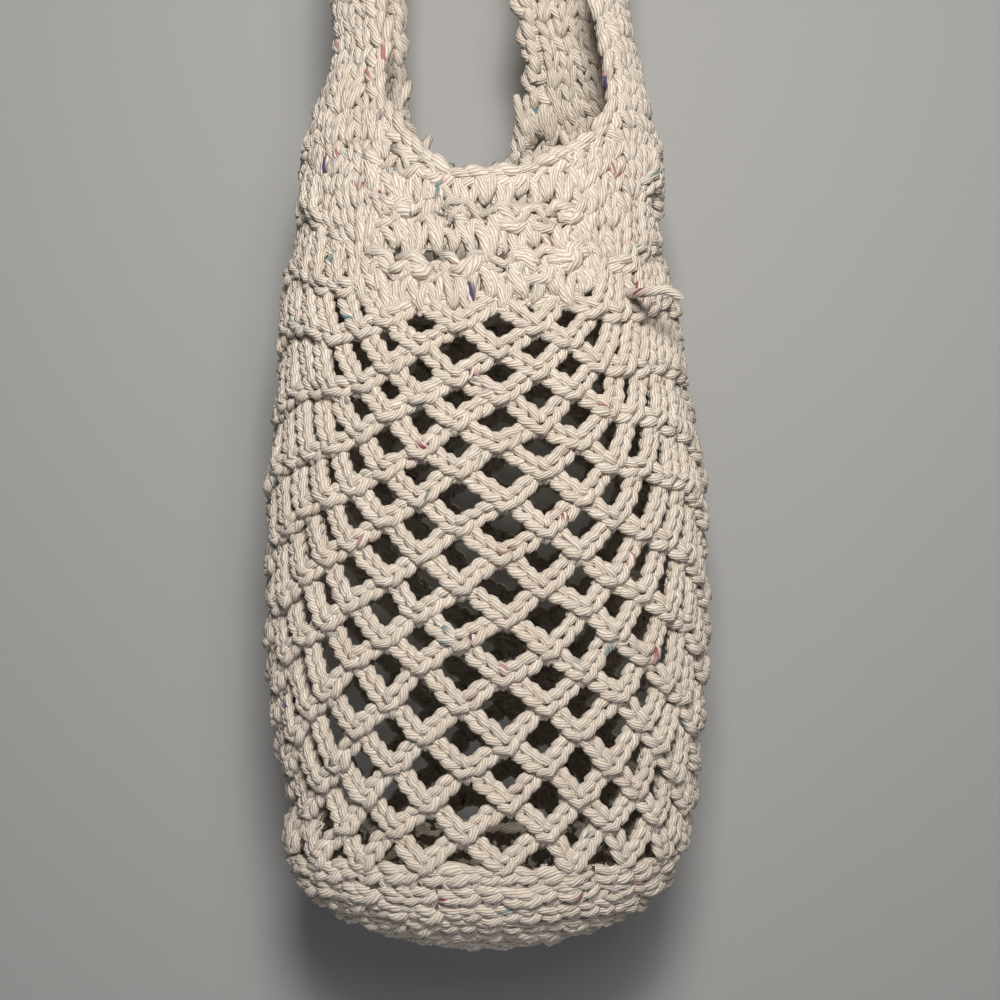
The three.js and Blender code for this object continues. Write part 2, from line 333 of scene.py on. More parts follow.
def body_point(angle, level, out, wall=DENSE_WALL):
    angle, level, out = np.broadcast_arrays(angle, level, out)
    half_width, half_depth, shift = section(level, wall)
    flat = oval(angle, half_width, half_depth, out)
    return np.stack([flat[..., 0] + shift, flat[..., 1], BOTTOM + level * BODY_HEIGHT], -1)


def base_point(angle, swing, out):
    """swing is 0 at the middle of the bottom and 1 at the base's rim."""
    angle, swing, out = np.broadcast_arrays(angle, swing, out)
    half_width, half_depth, shift = (size[0] for size in section(np.array([BASE_LEVEL]), DENSE_WALL))
    spread = np.maximum(np.sin(swing * math.pi / 2), 0) ** 1.15
    dip = np.cos(swing * math.pi / 2)
    flat = oval(angle, half_width, half_depth, np.zeros_like(out))
    edge = oval(angle, half_width, half_depth, out) - flat
    flat = flat * spread[..., None] + edge * spread[..., None]
    height = BOTTOM + DENSE_WALL / 2 + (BASE_HEIGHT - DENSE_WALL / 2) * (1 - dip) - out * dip
    return np.stack([flat[..., 0] + shift, flat[..., 1], height], -1)


def net_top_level(angle):
    return NET_TOP_FRONT + (NET_TOP_SIDE - NET_TOP_FRONT) * np.sin(np.radians(angle)) ** 4


def rim_level(angle):
    turned = np.mod(angle, 360)
    away = np.where(turned < 90, turned, np.where(turned < 270, np.abs(turned - 180), 360 - turned))
    quarter = np.floor(turned / 90).astype(int) + 1
    rise = np.zeros_like(away)
    for name in (FRONT_RIGHT, BACK_RIGHT, BACK_LEFT, FRONT_LEFT):
        rise = np.where(quarter == name, np.interp(away, NECKLINE[name], NECKLINE[0]), rise)
    return 1 + rise * (ROOT_LEVEL - 1)


def net_point(column, row, out):
    angle = NET_TURN + column * 360 / NET_COLUMNS
    down = row / NET_ROWS
    share = down * (1 - NET_STRETCH * (1 - down))
    top = net_top_level(angle)
    return body_point(angle, top + (BASE_LEVEL - top) * share, out, NET_WALL)


print("front rim at", np.round(body_point(0.0, 1.0, 0.0) / MM, 1), "mm")


# %% [markdown]
# ## The strap's surface
# The strap has no seam with the body: it goes up from both sides of the collar in the body's own curve and
# flattens into a shallow channel at the top. The same oval is turned along a quarter circle on each side.

# %% The strap's surface
def strap_point(climb, across, out):
    """climb runs 0 to 1 up the right side and 1 to 2 down the left; across is 0 at the front edge."""
    climb, across, out = np.broadcast_arrays(climb, across, out)
    side = np.where(climb <= 1, 1, -1)
    climb = np.where(climb <= 1, climb, 2 - climb)
    arch = np.clip((climb - ARCH_START) / (1 - ARCH_START), 0, 1)
    straight = np.minimum(climb / ARCH_START, 1)
    level = ROOT_LEVEL + (STRAIGHT_LEVEL - ROOT_LEVEL) * straight
    half_width, half_depth, shift = section(level, DENSE_WALL)
    swing = arch * math.pi / 2
    foot = BOTTOM + level * BODY_HEIGHT
    middle_x = shift * (1 - arch) + side * half_width * np.cos(swing)
    middle_z = foot + (DENSE_WALL / 2 - foot) * np.sin(swing)
    away = np.stack([side * -foot * np.cos(swing), half_width * np.sin(swing)], -1)
    away /= np.linalg.norm(away, axis=-1, keepdims=True)
    ease = arch * arch * (3 - 2 * arch)
    top_reach = squared(math.cos(math.radians(STRAP_TOP_ANGLE)))
    top_dip = 1 - squared(math.sin(math.radians(STRAP_TOP_ANGLE)))
    curl = half_width + (STRAP_TOP_CURL / top_dip - half_width) * ease
    reach = half_depth + (STRAP_TOP_DEPTH / 2 / top_reach - half_depth) * ease
    front_foot = np.where(side > 0, NECKLINE[FRONT_RIGHT][-1], NECKLINE[FRONT_LEFT][-1])
    back_foot = np.where(side > 0, NECKLINE[BACK_RIGHT][-1], NECKLINE[BACK_LEFT][-1])
    front = front_foot + (STRAP_TOP_ANGLE - front_foot) * ease
    back = 180 - (back_foot + (STRAP_TOP_ANGLE - back_foot) * ease)
    flat = oval(front + (back - front) * across, curl, reach, out)
    inward = flat[..., 0] - curl
    return np.stack([
        middle_x + away[..., 0] * inward, flat[..., 1], middle_z + away[..., 1] * inward], -1)


print("strap top", np.round(strap_point(np.array(1.0), np.array(0.5), np.array(0.0)) / MM, 1))


# %% [markdown]
# ## Two stitches
# A chain stitch is a loop pulled through the loop before it: up the left side, round the head, down the
# right side and along the back to the next loop. A dense stitch shows as a V: the yarn comes over the top
# of its row, down into the row below and up again. Both are short lists of places that the yarn passes,
# in shares of the stitch, and a smooth curve joins them.

# %% Stitch paths
YARN_RADIUS = 1.6 * MM

# along the chain, to the side, towards the viewer, swell of the yarn
CHAIN_STITCH = np.array([
    (0.0, -0.22, -0.35, 0.85),
    (0.18, -0.36, 0.45, 0.98),
    (0.55, -0.7, 0.95, 1.1),
    (0.95, -1.0, 0.72, 1.08),
    (1.24, -0.82, 0.05, 0.98),
    (1.33, 0.0, -0.5, 0.88),
    (1.24, 0.82, 0.05, 0.98),
    (0.95, 1.0, 0.72, 1.08),
    (0.55, 0.7, 0.95, 1.1),
    (0.18, 0.36, 0.45, 0.98),
    (0.0, 0.22, -0.35, 0.85),
    (0.3, 0.12, -1.0, 0.9),
    (0.7, -0.12, -1.0, 0.9),
])

# along the row, up the row, towards the viewer, swell of the yarn
DENSE_STITCH = np.array([
    (-0.5, 1.0, -0.75, 0.85),
    (-0.48, 1.18, 0.1, 0.95),
    (-0.37, 0.86, 0.9, 1.1),
    (-0.19, 0.36, 0.95, 1.08),
    (-0.07, 0.02, 0.45, 0.95),
    (0, -0.1, -0.2, 0.85),
    (0.07, 0.02, 0.45, 0.95),
    (0.19, 0.36, 0.95, 1.08),
    (0.37, 0.86, 0.9, 1.1),
    (0.48, 1.18, 0.1, 0.95),
])


def smooth_curve(points, samples, closed=False, step=None):
    """A Catmull-Rom curve through points; step is the shift from one repeat of the points to the next."""
    count = len(points)
    shift = np.zeros(points.shape[1]) if step is None else np.asarray(step)
    if closed or step is not None:
        places = np.arange(samples) * count / samples
        index = np.floor(places).astype(int)
        around = [
            points[(index + k) % count] + ((index + k) // count)[:, None] * shift for k in (-1, 0, 1, 2)]
    else:
        places = np.linspace(0, count - 1, samples)
        index = np.minimum(np.floor(places).astype(int), count - 2)
        around = [points[np.clip(index + k, 0, count - 1)] for k in (-1, 0, 1, 2)]
    t = (places - index)[:, None]
    a, b, c, d = around
    bend = 2 * a - 5 * b + 4 * c - d
    twist = 3 * b - a - 3 * c + d
    return 0.5 * (2 * b + (c - a) * t + bend * t ** 2 + twist * t ** 3)


CHAIN_SAMPLES = 14
DENSE_SAMPLES = 12
chain_curve = smooth_curve(CHAIN_STITCH, CHAIN_SAMPLES, step=(1, 0, 0, 0))
dense_curve = smooth_curve(DENSE_STITCH, DENSE_SAMPLES, step=(1, 0, 0, 0))


def unit(vectors):
    return vectors / np.maximum(np.linalg.norm(vectors, axis=-1, keepdims=True), 1e-12)


def chain_along(spine, normals, stitches, width, depth, roll=0.0, closed=False, swell=1.0, skew=0.0,
                mess=1.0, squeeze=None):
    """Chain stitches along a line in space, as points with a swell. roll turns their face round the line,
    in degrees, and may be a function of the share of the line, as is squeeze, which narrows them. skew
    slants the stitches, and mess is how far they differ."""
    if closed:
        spine = np.vstack([spine, spine[:3]])
        normals = np.vstack([normals, normals[:3]])
    lengths = np.r_[0, np.cumsum(np.linalg.norm(np.diff(spine, axis=0), axis=1))]
    total = lengths[-3] if closed else lengths[-1]
    lean = random.normal(0, mess, (stitches, 4)) * (0.05, 0.06, 0.1, 0.05)
    local = []
    for index in range(stitches):
        stitch = chain_curve.copy()
        stitch[:, 0] += index + lean[index, 0]
        stitch[:, 1] = stitch[:, 1] * (1 + lean[index, 1]) + lean[index, 2]
        stitch[:, 3] *= 1 + lean[index, 3]
        local.append(stitch)
    local = np.concatenate(local)
    reach = stitches if closed else stitches + 0.33
    places = (local[:, 0] - skew * local[:, 1]) / reach * total
    if closed:
        places = np.mod(places, total)
    centre = np.stack([np.interp(places, lengths, spine[:, axis]) for axis in range(3)], 1)
    normal = unit(np.stack([np.interp(places, lengths, normals[:, axis]) for axis in range(3)], 1))
    tangents = unit(np.gradient(spine, axis=0))
    tangent = unit(np.stack([np.interp(places, lengths, tangents[:, axis]) for axis in range(3)], 1))
    side = unit(np.cross(normal, tangent))
    front = np.cross(tangent, side)
    turn = np.radians(roll(places / total) if callable(roll) else np.full(len(places), float(roll)))
    across = local[:, 1] * width
    out = local[:, 2] * depth
    if squeeze is not None:
        across = across * squeeze(places / total)
    sideways = across * np.cos(turn) + out * np.sin(turn)
    outwards = out * np.cos(turn) - across * np.sin(turn)
    points = centre + side * sideways[:, None] + front * outwards[:, None]
    return np.column_stack([points, local[:, 3] * swell])


print("points in a chain stitch", CHAIN_SAMPLES, "and in a dense stitch", DENSE_SAMPLES)

# %% [markdown]
# ## The net
# The net is hooked in rounds of chain loops. Each loop hangs as a V between two loops of the round above
# it, and one single crochet grips the bottom of the loop above. Every crossing is a little off its place,
# as handwork is.

# %% Net loops
random = np.random.default_rng(7)
CHAINS_PER_LOOP = 7
CHAIN_WIDTH = 2.2 * MM
CHAIN_DEPTH = 1.75 * MM
LOOP_SAMPLES = 33
# in columns, in rows and outwards
STRAY_SIZES = (0.08, 0.1, 0.4 * MM)
EDGE_STRAY = 0.3
crossing_shift = random.normal(0, 1, (NET_COLUMNS, NET_ROWS + 1, 3)) * STRAY_SIZES
crossing_shift[:, 0] *= EDGE_STRAY
crossing_shift[:, NET_ROWS] *= EDGE_STRAY


def crossing(column, row):
    shift = crossing_shift[column % NET_COLUMNS, row]
    return np.array([column + shift[0], row + shift[1], shift[2]])


def loop_spine(column, row):
    left = crossing(column - 1, row - 1) + (0.08, 0, 0)
    bottom = crossing(column, row)
    right = crossing(column + 1, row - 1) + (-0.08, 0, 0)
    points = []
    # share of the way down to the bottom of the loop, and millimetres outwards
    down = ((0.22, -1.2), (0.52, 0.3), (0.8, 1.1))
    for share, out in ((-0.14, -3.2), *down):
        points.append(right + (bottom - right) * share + (0, 0, out * MM))
    points.append(bottom + (0, -0.04, 1.5 * MM))
    for share, out in (*reversed(down), (-0.02, -3.4)):
        points.append(left + (bottom - left) * share + (0, 0, out * MM))
    return smooth_curve(np.array(points), LOOP_SAMPLES)


def narrow_end(share):
    """The last stitch of a loop is pulled tight."""
    return 1 - 0.6 * np.clip((share - 0.86) / 0.12, 0, 1)


def net_loop(column, row):
    path = loop_spine(column, row)
    spine = net_point(path[:, 0], path[:, 1], path[:, 2])
    normals = net_point(path[:, 0], path[:, 1], path[:, 2] + MM) - spine
    first, second = random.normal(4, 9), random.normal(-2, 8)

    def roll(share):
        return first + (second - first) * np.clip((share - 0.35) / 0.3, 0, 1)
    return chain_along(
        spine, normals, CHAINS_PER_LOOP, CHAIN_WIDTH, CHAIN_DEPTH, roll,
        swell=1.04, skew=0.1, squeeze=narrow_end)


QUARTERS = {"net_front": 0, "net_right": 90, "net_back": 180, "net_left": 270}
net_loops = {name: [] for name in QUARTERS}
for row in range(1, NET_ROWS + 1):
    for column in range(row % 2, NET_COLUMNS, 2):
        turned = (NET_TURN + column * 360 / NET_COLUMNS + 45) % 360
        name = list(QUARTERS)[int(turned // 90)]
        net_loops[name].append(net_loop(column, row))
print("net loops", {name: len(loops) for name, loops in net_loops.items()})


# %% [markdown]
# ## Knots
# The single crochet that fastens a loop goes round the loop above it from behind. From the front it is only
# a turn of yarn in the crotch under each crossing, so two short rings stand for it.

# %% Knots behind the crossings
KNOT_POINTS = 9
KNOT_OFFSET = 0.11


def knot(column, row, offset):
    """One turn of yarn behind the bottom of a loop; it shows between the loops that start under it."""
    centre = crossing(column, row)
    turn = np.linspace(0, 2 * np.pi, KNOT_POINTS, endpoint=False)
    up = np.cos(turn)
    out = np.sin(turn)
    points = net_point(
        centre[0] + 0.1 * up + offset, centre[1] - 0.28 * up + 0.1, centre[2] + (2.3 * out - 1.2) * MM)
    return np.column_stack([points, np.ones(KNOT_POINTS)])


knots = {"knots_front": [], "knots_back": []}
for row in range(1, NET_ROWS):
    for column in range(row % 2, NET_COLUMNS, 2):
        faces_front = math.cos(math.radians(NET_TURN + column * 360 / NET_COLUMNS)) > 0
        for offset in (-KNOT_OFFSET, KNOT_OFFSET):
            knots["knots_front" if faces_front else "knots_back"].append(knot(column, row, offset))
print("knots", {name: len(rings) for name, rings in knots.items()})

# %% [markdown]
# ## The end of the yarn
# Where the maker joined a new ball, one end was left standing out of the right side below the collar. It is
# a bare strand, thinner where its plies open at the tip.

# %% The end of the yarn
# place in millimetres from the mount, and swell of the yarn
TAIL = np.array([
    (44, -24, -290, 0.9),
    (48, -33, -292, 1.02),
    (53, -41, -292.5, 1.05),
    (58, -43, -292, 1.02),
    (61.5, -43, -293.5, 0.95),
    (63.8, -42.5, -295, 0.7),
]) * (MM, MM, MM, 1)
tail = smooth_curve(TAIL, 26)
print("tail", round(float(np.linalg.norm(np.diff(tail[:, :3], axis=0), axis=1).sum() / MM)), "mm long")

# %% [markdown]
# ## Dense fabric
# Base, collar and strap are rows of plain V stitches. A row is laid by its length, so that stitches keep
# their width where the bag narrows, and a row stops where the neckline or the net's edge cuts it off.

# %% Rows of posts and rows of chain heads
DENSE_DEPTH = 1.7 * MM
ROW_SAMPLES = 400


def lay_row(surface, start, end, low, high, width, keep=None, jitter=0.0, flip=1, swell=1.0, bow=0.0,
            sink=0.0):
    """Stitches along u from start to end, between v = low and v = high; returns one path for each run.
    low and high may be functions of u. keep picks stitches, jitter is how far they differ, flip is -1 on
    the inner face, bow curves the legs to one side and sink moves them in."""
    low_at = low if callable(low) else (lambda u: low + 0 * u)
    high_at = high if callable(high) else (lambda u: high + 0 * u)
    fine = np.linspace(start, end, ROW_SAMPLES)
    line = surface(fine, (low_at(fine) + high_at(fine)) / 2, np.zeros(ROW_SAMPLES))
    lengths = np.r_[0, np.cumsum(np.linalg.norm(np.diff(line, axis=0), axis=1))]
    stitches = max(int(round(lengths[-1] / width)), 1)
    runs = []
    run = []
    for index in range(stitches):
        centre = np.interp((index + 0.5) / stitches * lengths[-1], lengths, fine)
        if keep is not None and not keep(centre, low_at(centre), high_at(centre)):
            if run:
                runs.append(np.concatenate(run))
                run = []
            continue
        lean = random.normal(0, jitter, 5)
        local = dense_curve + (0.5, 0, 0, 0)
        bend = bow * random.uniform(-1, 1)
        shear = lean[3] * (local[:, 1] - 0.5) * 1.5 + bend * (local[:, 1] - local[:, 1] ** 2)
        along = np.interp((index + local[:, 0] + shear) / stitches * lengths[-1], lengths, fine)
        rise = local[:, 1] * (1 + 0.6 * lean[0]) + 0.4 * lean[1]
        height = low_at(along) + (high_at(along) - low_at(along)) * rise
        out = flip * (local[:, 2] * DENSE_DEPTH * (1 + lean[2]) - sink)
        run.append(np.column_stack([surface(along, height, out), local[:, 3] * swell * (1 + 0.5 * lean[4])]))
    if run:
        runs.append(np.concatenate(run))
    return runs


def lay_chain(surface, us, vs, out, pitch, width, roll=0.0, closed=True, swell=1.0, skew=0.0, mess=1.0):
    """A row of chain heads along the points (us, vs), made from the first point to the last."""
    spine = surface(us, vs, np.full(len(us), out))
    normals = surface(us, vs, np.full(len(us), out + MM)) - spine
    stitches = max(int(round(np.linalg.norm(np.diff(spine, axis=0), axis=1).sum() / pitch)), 2)
    return chain_along(spine, normals, stitches, width, CHAIN_DEPTH, roll, closed, swell, skew, mess)


def wave(turns, size, phase):
    """A slow sway and a quick one, as a function of the angle round the bag."""
    def sway(angle):
        radians = np.radians(angle)
        return size * (
            np.sin(radians * turns + phase) + 1.2 * np.sin(radians * (turns * 7 + 2) + 2 * phase))
    return sway



# %% [markdown]
# ## Base
# The bag starts at the bottom with a short chain and grows in rounds. From outside each round shows as a
# chain lying on its side. From inside it shows as a row of Vs, and both faces are made.

# %% Base
BASE_ROWS = 8
BASE_STITCH = 7.0 * MM
base_rows = []
base_inner_rows = []
around = np.linspace(360, 0, 181)[:-1]
for index in range(BASE_ROWS):
    place = (index + 0.55) / BASE_ROWS
    wobble = wave(3 + index % 3, 0.01, index * 2.1)(around)
    base_rows.append(lay_chain(
        base_point, around, place + wobble, out=0.6 * MM, pitch=6.6 * MM, width=1.85 * MM,
        roll=-6, swell=1.06, skew=0.24, mess=3.2))
    low = max(place - 0.1, 0.02)
    for flip, rows in ((1, base_rows), (-1, base_inner_rows)):
        rows += lay_row(
            base_point, 0, 360, low, place + 0.02, BASE_STITCH,
            jitter=0.1, flip=flip, swell=0.95, sink=0.5 * MM)
print("base runs", len(base_rows))

# %% [markdown]
# ## Collar
# In front and at the back the collar is tall stitches: short upright posts, and the heads of the row lie
# over them as a slanting chain. Over the shoulders the rows turn into the small Vs of the strap. Each row
# follows the net's curved top edge and stops at the neckline.

# %% Collar
STRAP_ROW = 5.8 * MM
STRAP_STITCH = 5.4 * MM
SHOULDER_ROWS = 15
COLLAR_ROWS = 6
COLLAR_STITCH = 7.0 * MM
COLLAR_PITCH = 16.6 * MM / BODY_HEIGHT
POST_SHARE = 0.54
SHOULDER_ANGLE = 36
SHOULDER_TOP = ROOT_LEVEL - 6.5 * MM / BODY_HEIGHT
collar_rows = []
collar_inner_rows = []
random_phase = random.uniform(0, 6.28, 8)


def row_level(index, share):
    wobble = wave(5, 0.007, random_phase[index])
    return lambda angle: net_top_level(angle) + (index + share) * COLLAR_PITCH + wobble(angle)


def away_from_centre(angle):
    return abs((angle + 90) % 180 - 90)


def inside_collar(angle, low, high):
    rim = rim_level(np.array(angle))
    below_rim = (low + high) / 2 < rim - 0.15 * COLLAR_PITCH and high < rim + 0.12 * COLLAR_PITCH
    return below_rim and away_from_centre(angle) < SHOULDER_ANGLE


def on_shoulder(angle, low, high):
    rim = rim_level(np.array([angle - 5, angle + 5])).min()
    below_rim = high < rim + 0.02 * COLLAR_PITCH
    above_net = high > net_top_level(angle) + 0.1 * COLLAR_PITCH
    return below_rim and above_net and away_from_centre(angle) > SHOULDER_ANGLE - 5


for index in range(COLLAR_ROWS):
    for flip, rows in ((1, collar_rows), (-1, collar_inner_rows)):
        rows += lay_row(
            body_point, 0, 360, row_level(index, -0.04), row_level(index, POST_SHARE), COLLAR_STITCH,
            keep=inside_collar, jitter=0.24, flip=flip, swell=1.1, bow=1.2)
    head = row_level(index, POST_SHARE + 0.21)
    around = np.linspace(360, 0, 361)[:-1]
    inside = np.array([inside_collar(angle, head(angle), head(angle)) for angle in around])
    first = int(np.argmin(inside))
    turned = np.roll(np.arange(360), -first)
    groups = np.split(turned, np.flatnonzero(np.diff(inside[turned].astype(int))) + 1)
    for group in groups:
        if inside[group[0]] and len(group) > 4:
            angles = around[group]
            whole = len(group) == 360
            collar_rows.append(lay_chain(
                body_point, angles, head(angles), out=1.0 * MM, pitch=7.4 * MM, width=2.3 * MM,
                roll=-6, closed=whole, swell=1.14, skew=0.45, mess=5))
shoulder_step = STRAP_ROW / BODY_HEIGHT
for index in range(SHOULDER_ROWS):
    low = SHOULDER_TOP - (index + 1) * shoulder_step
    high = SHOULDER_TOP - index * shoulder_step
    for flip, rows in ((1, collar_rows), (-1, collar_inner_rows)):
        rows += lay_row(
            body_point, 0, 360, low, high, STRAP_STITCH,
            keep=on_shoulder, jitter=0.2, flip=flip, swell=0.94)
around = np.linspace(360, 0, 241)[:-1]
collar_rows.append(lay_chain(
    body_point, around, net_top_level(around) + 0.004, out=-1.6 * MM, pitch=6.2 * MM, width=1.5 * MM,
    swell=0.9))
print("collar runs", len(collar_rows))

# %% [markdown]
# ## Strap
# The strap is worked to and fro in short dense rows, so both of its faces show columns of small Vs. The
# rows are spaced by the length of the strap's middle line, from inside the collar up to the top.

# %% Strap
climbs = np.linspace(-0.05, 1, 200)
strap_line = strap_point(climbs, 0.5, 0.0)
strap_lengths = np.r_[0, np.cumsum(np.linalg.norm(np.diff(strap_line, axis=0), axis=1))]
rows_up = int(round(strap_lengths[-1] / STRAP_ROW))


def strap_sheet(side):
    """One side of the strap: u runs across it, and v up it in equal lengths."""
    def surface(across, up, out):
        climb = np.interp(up * strap_lengths[-1], strap_lengths, climbs)
        return strap_point(climb if side > 0 else 2 - climb, across, out)
    return surface


strap_rows = {"strap_right": [], "strap_left": [], "strap_right_inside": [], "strap_left_inside": []}
for name, side in (("strap_right", 1), ("strap_left", -1)):
    for index in range(rows_up):
        low = index / rows_up
        high = (index + 1) / rows_up
        for flip, face in ((1, ""), (-1, "_inside")):
            strap_rows[name + face] += lay_row(
                strap_sheet(side), 0.05, 0.95, low, high, STRAP_STITCH, jitter=0.17, flip=flip, swell=0.94)
print("strap rows on each side", rows_up)


# %% [markdown]
# ## Edging
# One last round of slip stitches runs along each opening and over the strap. It is a thick chain that
# hides the raw ends of the rows. At the front it sags a little, as the real rim does.

# %% Edging of the neckline and the strap
RIM_SAG = 3.5 * MM
EDGING_STITCHES = 96
EDGING_WIDTH = 2.6 * MM
EDGING_DEPTH = 1.25 * CHAIN_DEPTH


def edge_line(front):
    """The closed edge of the front or the back opening: over the strap's top and round the neckline."""
    across = 0.0 if front else 1.0
    over = np.linspace(0, 2, 261)
    top = strap_point(over, across, 0.0)
    top_out = strap_point(over, across, MM) - top
    right, left = (FRONT_RIGHT, FRONT_LEFT) if front else (BACK_RIGHT, BACK_LEFT)
    rises = np.linspace(1, 0, 40)
    away_left = np.interp(rises, NECKLINE[0], NECKLINE[left])
    away_right = np.interp(rises[::-1], NECKLINE[0], NECKLINE[right])
    flat = np.linspace(-away_left[-1], away_right[0], 12)[1:-1]
    away = np.r_[-away_left, flat, away_right]
    rise = np.r_[rises, np.zeros(len(flat)), rises[::-1]]
    angle = away if front else 180 - away
    levels = 1 + rise * (ROOT_LEVEL - 1) - RIM_SAG / BODY_HEIGHT * (1 - rise)
    neck = body_point(angle, levels, 0.0)
    neck_out = body_point(angle, levels, MM) - neck
    return np.vstack([top, neck[1:-1]]), np.vstack([top_out, neck_out[1:-1]])


edging = []
for front in (True, False):
    spine, normals = edge_line(front)
    spine = spine[::-1]
    normals = normals[::-1]
    edging.append(chain_along(
        spine, normals, EDGING_STITCHES, EDGING_WIDTH, EDGING_DEPTH,
        roll=2 if front else -2, closed=True, swell=1.18, skew=0.3, mess=2.6))
print("edging points", [len(path) for path in edging])

# %% [markdown]
# ## Sweep the yarn
# Each path becomes a line of edges in a mesh, and one Geometry Nodes tree sweeps a round yarn along them.
# The tree also stores the place round the yarn, as a cosine and a sine, so that the material can wind
# plies round it without a seam.

# %% Yarn tree
def make_yarn_tree():
    tree = bpy.data.node_groups.new("sweep_yarn", "GeometryNodeTree")
    face = tree.interface
    face.new_socket("Paths", in_out="INPUT", socket_type="NodeSocketGeometry")
    face.new_socket("Yarn radius", in_out="INPUT", socket_type="NodeSocketFloat")
    face.new_socket("Sides", in_out="INPUT", socket_type="NodeSocketInt")
    face.new_socket("Yarn", in_out="INPUT", socket_type="NodeSocketMaterial")
    face.new_socket("Mesh", in_out="OUTPUT", socket_type="NodeSocketGeometry")
    given = add_node(tree, "NodeGroupInput").outputs
    lines = add_node(tree, "GeometryNodeMeshToCurve", inputs={"Mesh": given["Paths"]})
    swell = add_node(tree, "GeometryNodeInputNamedAttribute", {"data_type": "FLOAT"}, {"Name": "swell"})
    lines = add_node(tree, "GeometryNodeSetCurveRadius", inputs={
        "Curve": lines.outputs["Curve"], "Radius": swell.outputs["Attribute"]})
    ring = add_node(tree, "GeometryNodeCurvePrimitiveCircle", inputs={
        "Resolution": given["Sides"], "Radius": given["Yarn radius"]}).outputs["Curve"]
    place = add_node(tree, "GeometryNodeSplineParameter").outputs["Factor"]
    turn = add_node(tree, "ShaderNodeMath", {"operation": "MULTIPLY"}, {0: place, 1: 2 * math.pi})
    for name, operation in (("around_cos", "COSINE"), ("around_sin", "SINE")):
        value = add_node(tree, "ShaderNodeMath", {"operation": operation}, {0: turn.outputs[0]})
        ring = add_node(tree, "GeometryNodeStoreNamedAttribute", {"domain": "POINT"}, {
            "Geometry": ring, "Name": name, "Value": value.outputs[0]}).outputs["Geometry"]
    swept = add_node(tree, "GeometryNodeCurveToMesh", inputs={
        "Curve": lines.outputs["Curve"], "Profile Curve": ring, "Fill Caps": True,
        "Scale": swell.outputs["Attribute"]})
    real = add_node(tree, "GeometryNodeRealizeInstances", inputs={"Geometry": swept.outputs["Mesh"]})
    made = add_node(tree, "GeometryNodeSetMaterial", inputs={
        "Geometry": real.outputs["Geometry"], "Material": given["Yarn"]})
    add_node(tree, "NodeGroupOutput", inputs={"Mesh": made.outputs["Geometry"]})
    return tree


yarn_tree = make_yarn_tree()
print("nodes in the yarn tree", len(yarn_tree.nodes))


# %% [markdown]
# ## The yarn's material
# The yarn is undyed combed cotton, nine plies under a loose twist. Cotton is matt, so its roughness is
# near 1 and a little sheen stands for the fuzz. The spinner let a few dyed fibres in: short flecks of rose,
# purple, teal and blue. They fall anywhere, but a few large ones catch the eye on the real bag. Those are
# listed by their place as the camera sees them: across, down, radius and dye.

# %% Slubs that can be seen on the front, by their place in the photograph
ROSE, PINK, PURPLE, TEAL, BLUE = 1, 2, 3, 4, 5
SLUBS = [
    (440, 192, 9, BLUE), (458, 262, 7, ROSE), (471, 280, 7, PURPLE), (472, 296, 7, PURPLE),
    (521, 318, 6, PURPLE), (474, 378, 6, PURPLE), (486, 390, 6, PURPLE), (495, 408, 7, ROSE),
    (422, 445, 7, ROSE), (385, 462, 6, ROSE), (362, 460, 6, ROSE), (337, 347, 7, ROSE),
    (430, 500, 7, TEAL), (560, 515, 7, ROSE), (505, 550, 7, ROSE), (503, 572, 6, ROSE),
    (475, 640, 7, PURPLE), (505, 672, 7, PINK), (690, 425, 6, TEAL), (612, 170, 7, PINK),
    (590, 135, 7, PINK), (605, 80, 7, PURPLE), (575, 35, 7, ROSE), (360, 185, 6, ROSE),
    (640, 290, 6, ROSE), (478, 460, 6, TEAL), (570, 450, 6, PURPLE), (462, 232, 6, PINK),
]
print("large flecks", len(SLUBS))

# %% [markdown]
# ## Plies
# Two numbers travel with the yarn: how far along it a point is, and where round it. Their sum counts plies,
# so the ridges wind as a helix. The same count picks the ply that a fleck lies in. A little noise bends the
# lines, because no plies lie perfectly.

# %% Plies
PLIES = 9
TWIST_LENGTH = 23 * MM
PLY_STRAY = 1.5
YARN_NUMBERS = ("along", "strand", "around_cos", "around_sin", "slub", "slub_hue")
MATH = "ShaderNodeMath"
TIMES, PLUS, MINUS, FLOOR = ({"operation": name} for name in ("MULTIPLY", "ADD", "SUBTRACT", "FLOOR"))
CLAMPED = {"use_clamp": True}


def noise_on_yarn(tree, axes, detail, roughness=0.5):
    """Noise in a space of the yarn's numbers, each times its repeats."""
    place = add_node(tree, "ShaderNodeCombineXYZ", inputs={
        axis: add_node(tree, MATH, TIMES, {0: number, 1: repeats})
        for axis, (number, repeats) in zip("XYZ", axes)})
    return add_node(tree, "ShaderNodeTexNoise", inputs={
        "Vector": place, "Scale": 1.0, "Detail": detail, "Roughness": roughness})


